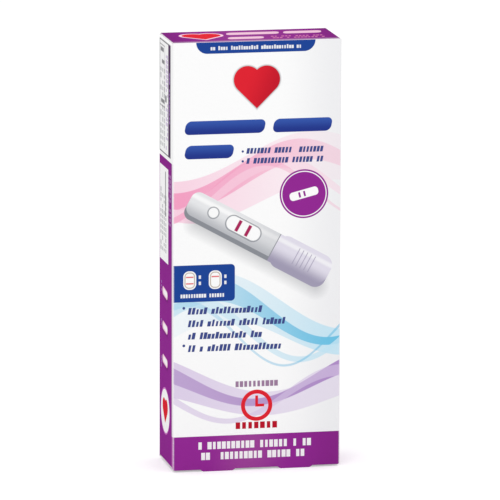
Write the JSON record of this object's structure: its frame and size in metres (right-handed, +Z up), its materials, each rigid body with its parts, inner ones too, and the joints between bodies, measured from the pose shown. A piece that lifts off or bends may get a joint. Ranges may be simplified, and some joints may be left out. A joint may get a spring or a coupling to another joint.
{
  "type": "pregnancy test carton",
  "caption": "Slim upright folding carton for a home pregnancy test, tuck lids at top and bottom, with a sealed test pouch and a folded leaflet inside.",
  "frame": {"origin": "under the middle of the carton, on the plane of its lowest point, the edge of the two crease tabs under the front panel", "axes": "+Z up along the carton's height, the front panel faces -Y, +X to the right as seen from the front"},
  "size_m": [0.06, 0.0254, 0.1526],
  "materials": {
    "printed_board": "satin",
    "lid_board": "satin",
    "pouch_film": "satin",
    "leaflet_paper": "matte"
  },
  "bodies": {
    "carton": {"carton_body": "printed_board", "foil_pouch": "pouch_film", "folded_leaflet": "leaflet_paper"},
    "top_lid": {"top_lid": "lid_board"},
    "bottom_lid": {"bottom_lid": "lid_board"}
  },
  "joints": [
    {"name": "top_lid_hinge", "type": "hinge", "parent": "carton", "child": "top_lid", "pos_m": [0, 0.01247, 0.15238], "axis": [-1, 0, 0], "range_deg": [0, 150]},
    {"name": "bottom_lid_hinge", "type": "hinge", "parent": "carton", "child": "bottom_lid", "pos_m": [0, -0.01247, 0.00082], "axis": [-1, 0, 0], "range_deg": [0, 150]}
  ]
}
